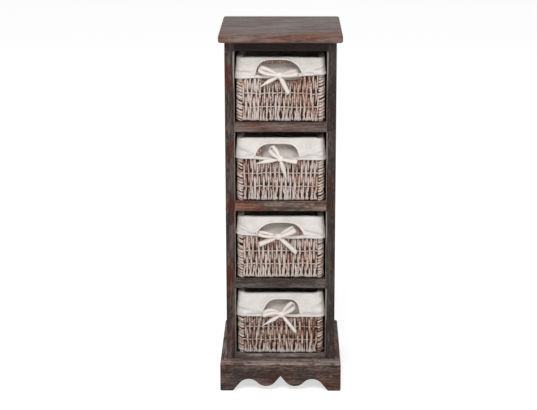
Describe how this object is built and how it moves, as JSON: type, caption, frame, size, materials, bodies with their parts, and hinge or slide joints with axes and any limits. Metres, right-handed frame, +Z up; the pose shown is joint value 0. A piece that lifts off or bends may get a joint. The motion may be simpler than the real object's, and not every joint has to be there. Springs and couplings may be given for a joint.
{
  "type": "basket storage unit",
  "caption": "Narrow weathered wooden cabinet with open compartments, each holding a cotton-lined wicker basket that slides out, on a plinth with a scalloped front apron",
  "frame": {"origin": "on the floor, under the middle of the footprint", "axes": "+X to the right seen from the front, +Y to the back, +Z up; the open front faces -Y"},
  "size_m": [0.254, 0.28, 0.755],
  "materials": {
    "weathered_wood": "matte, dark brown stain rubbed grey along the grain",
    "raw_wood": "matte, untreated",
    "wicker": "matte, whitewashed woven strands",
    "wire": "satin",
    "liner_cotton": "matte plain weave",
    "tape_cotton": "matte plain weave",
    "fastener_steel": "dull"
  },
  "bodies": {
    "carcass": {"top_board": "weathered_wood", "plinth_board": "weathered_wood", "front_left_post": "weathered_wood", "front_right_post": "weathered_wood", "rear_left_post": "weathered_wood", "rear_right_post": "weathered_wood", "left_side_panel": "weathered_wood", "right_side_panel": "weathered_wood", "left_apron": "weathered_wood", "right_apron": "weathered_wood", "front_apron": "weathered_wood", "rear_apron": "weathered_wood", "back_plank_1": "weathered_wood", "back_plank_2": "weathered_wood", "back_plank_3": "weathered_wood", "back_plank_4": "weathered_wood", "back_plank_5": "weathered_wood", "back_plank_6": "weathered_wood", "top_front_rail": "weathered_wood", "top_rear_rail": "weathered_wood", "bottom_rail": "weathered_wood", "shelf_1": "weathered_wood", "shelf_2": "weathered_wood", "shelf_3": "weathered_wood", "shelf_4": "weathered_wood", "shelf_rail_1": "weathered_wood", "shelf_rail_2": "weathered_wood", "shelf_rail_3": "weathered_wood", "left_cleat_1": "weathered_wood", "right_cleat_1": "weathered_wood", "left_cleat_2": "weathered_wood", "right_cleat_2": "weathered_wood", "left_cleat_3": "weathered_wood", "right_cleat_3": "weathered_wood", "glue_blocks": "raw_wood", "rail_dowels": "raw_wood", "apron_dowels": "raw_wood", "top_screws": "fastener_steel", "post_screws": "fastener_steel", "cleat_pins": "fastener_steel", "back_nails": "fastener_steel"},
    "basket_1": {"basket_1_wicker": "wicker", "basket_1_wire_frame": "wire", "basket_1_liner": "liner_cotton", "basket_1_bow": "tape_cotton"},
    "basket_2": {"basket_2_wicker": "wicker", "basket_2_wire_frame": "wire", "basket_2_liner": "liner_cotton", "basket_2_bow": "tape_cotton"},
    "basket_3": {"basket_3_wicker": "wicker", "basket_3_wire_frame": "wire", "basket_3_liner": "liner_cotton", "basket_3_bow": "tape_cotton"},
    "basket_4": {"basket_4_wicker": "wicker", "basket_4_wire_frame": "wire", "basket_4_liner": "liner_cotton", "basket_4_bow": "tape_cotton"}
  },
  "joints": [
    {"name": "basket_1_slide", "type": "slide", "parent": "carcass", "child": "basket_1", "axis": [0, -1, 0], "range_m": [0, 0.27]},
    {"name": "basket_2_slide", "type": "slide", "parent": "carcass", "child": "basket_2", "axis": [0, -1, 0], "range_m": [0, 0.27]},
    {"name": "basket_3_slide", "type": "slide", "parent": "carcass", "child": "basket_3", "axis": [0, -1, 0], "range_m": [0, 0.27]},
    {"name": "basket_4_slide", "type": "slide", "parent": "carcass", "child": "basket_4", "axis": [0, -1, 0], "range_m": [0, 0.27]}
  ]
}
